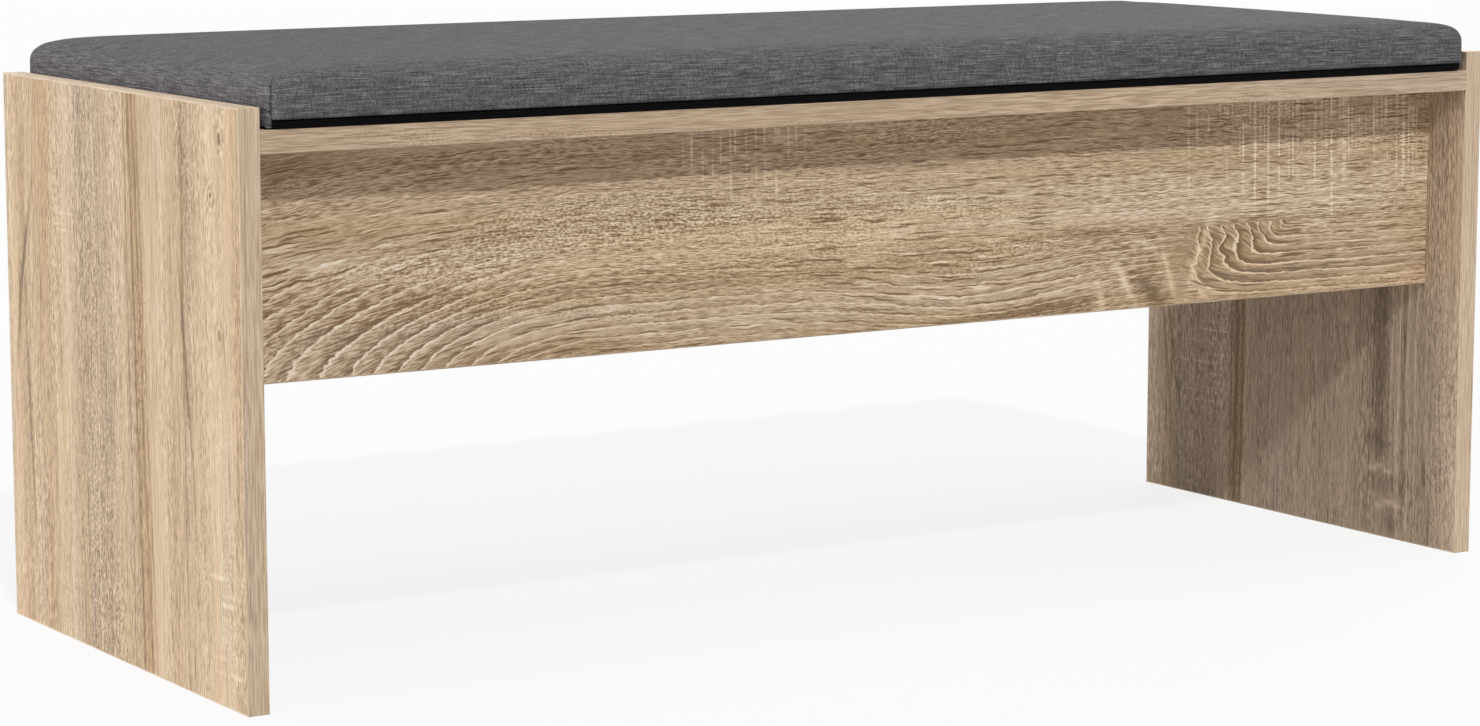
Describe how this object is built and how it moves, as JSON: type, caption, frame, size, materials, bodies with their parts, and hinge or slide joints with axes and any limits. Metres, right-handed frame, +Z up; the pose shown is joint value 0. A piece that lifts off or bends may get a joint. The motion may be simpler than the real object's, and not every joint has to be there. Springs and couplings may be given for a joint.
{
  "type": "entry bench",
  "caption": "Low entry bench with slab side panels, an inset seat board over deep aprons, and a lift-out dark grey upholstered seat cushion.",
  "frame": {"origin": "on the floor, under the middle of the bench", "axes": "+X along the bench's length, -Y towards its front, +Z up"},
  "size_m": [1.02, 0.385, 0.4049],
  "materials": {
    "oak_board": "light oak decor on chipboard, satin",
    "oak_edging": "light oak decor edging, satin",
    "zinc_fitting": "die-cast zinc",
    "steel_fitting": "zinc plated",
    "cap_plastic": "matte",
    "beech_dowel": "plain beech",
    "grey_cloth": "woven dark grey cloth",
    "seat_foam": "open foam",
    "black_base": "matte black thin board"
  },
  "bodies": {
    "bench_frame": {"left_side_panel": "oak_board", "right_side_panel": "oak_board", "seat_board": "oak_board", "front_apron": "oak_board", "rear_apron": "oak_board", "left_front_edging": "oak_edging", "left_rear_edging": "oak_edging", "left_top_edging": "oak_edging", "left_foot_edging": "oak_edging", "right_front_edging": "oak_edging", "right_rear_edging": "oak_edging", "right_top_edging": "oak_edging", "right_foot_edging": "oak_edging", "seat_front_edging": "oak_edging", "seat_rear_edging": "oak_edging", "front_apron_edging": "oak_edging", "rear_apron_edging": "oak_edging", "cam_discs": "zinc_fitting", "cam_bolts": "steel_fitting", "cam_caps": "cap_plastic", "panel_dowels": "beech_dowel", "seat_dowels": "beech_dowel"},
    "cushion": {"cushion_cover": "grey_cloth", "cushion_foam": "seat_foam", "cushion_base": "black_base"}
  },
  "joints": [
    {"name": "cushion_lift", "type": "slide", "parent": "bench_frame", "child": "cushion", "axis": [0, 0, 1], "range_m": [0, 0.05]}
  ]
}
